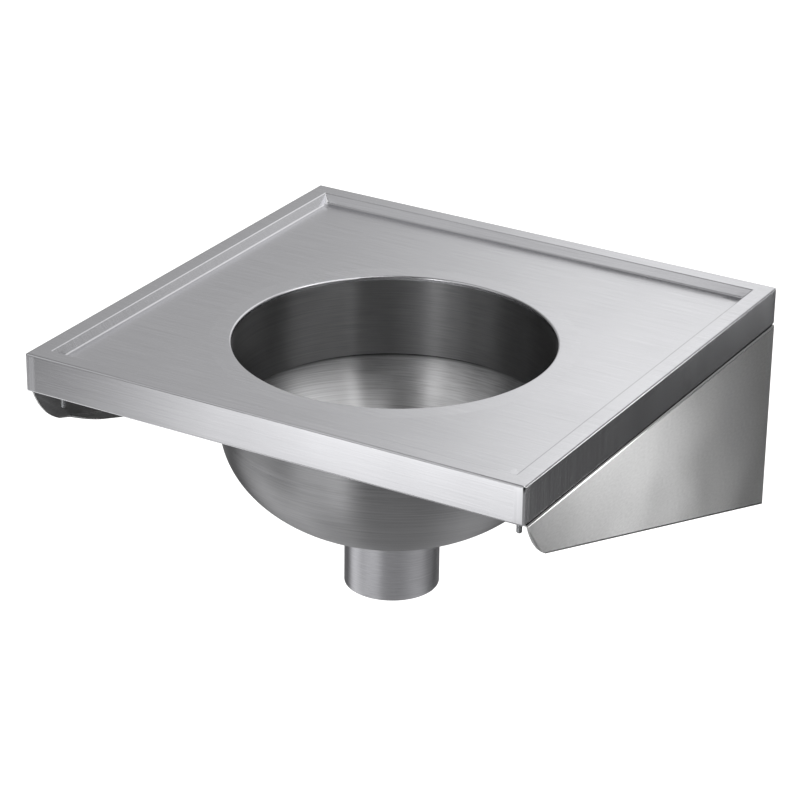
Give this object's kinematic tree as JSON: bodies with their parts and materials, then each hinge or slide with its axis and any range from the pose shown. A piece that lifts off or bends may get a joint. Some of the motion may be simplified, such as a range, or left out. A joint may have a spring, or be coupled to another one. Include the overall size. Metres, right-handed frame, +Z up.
{
  "type": "sluice sink",
  "caption": "Wall-hung stainless sluice sink: square deck with a raised rim, deep round flushing-rim bowl, straight outlet spigot and folded gallows brackets.",
  "frame": {"origin": "middle of the four wall fixing holes, on the wall face", "axes": "+Z up, +Y into the wall, +X to the right as seen from the front"},
  "size_m": [0.6, 0.592, 0.302],
  "materials": {
    "deck_steel": "fine linear brush",
    "bowl_steel": "fine circular brush",
    "pipe_steel": "drawn tube, satin",
    "bracket_steel": "fine linear brush",
    "rail_steel": "mill",
    "fixing_steel": "as turned",
    "packing_rubber": "matt"
  },
  "bodies": {
    "root": {"deck_panel": "deck_steel", "opening_ring": "deck_steel", "bowl_collar": "bowl_steel", "bowl_wall": "bowl_steel", "bowl_dish": "bowl_steel", "outlet_spigot": "pipe_steel", "flush_inlet": "pipe_steel", "left_bracket": "bracket_steel", "right_bracket": "bracket_steel", "left_deck_rail": "rail_steel", "right_deck_rail": "rail_steel", "front_stiffener": "rail_steel", "rear_stiffener": "rail_steel", "left_packing_strip": "packing_rubber", "right_packing_strip": "packing_rubber", "deck_studs": "fixing_steel", "stud_washers": "fixing_steel", "stud_nuts": "fixing_steel", "earth_tag": "fixing_steel"}
  },
  "joints": []
}
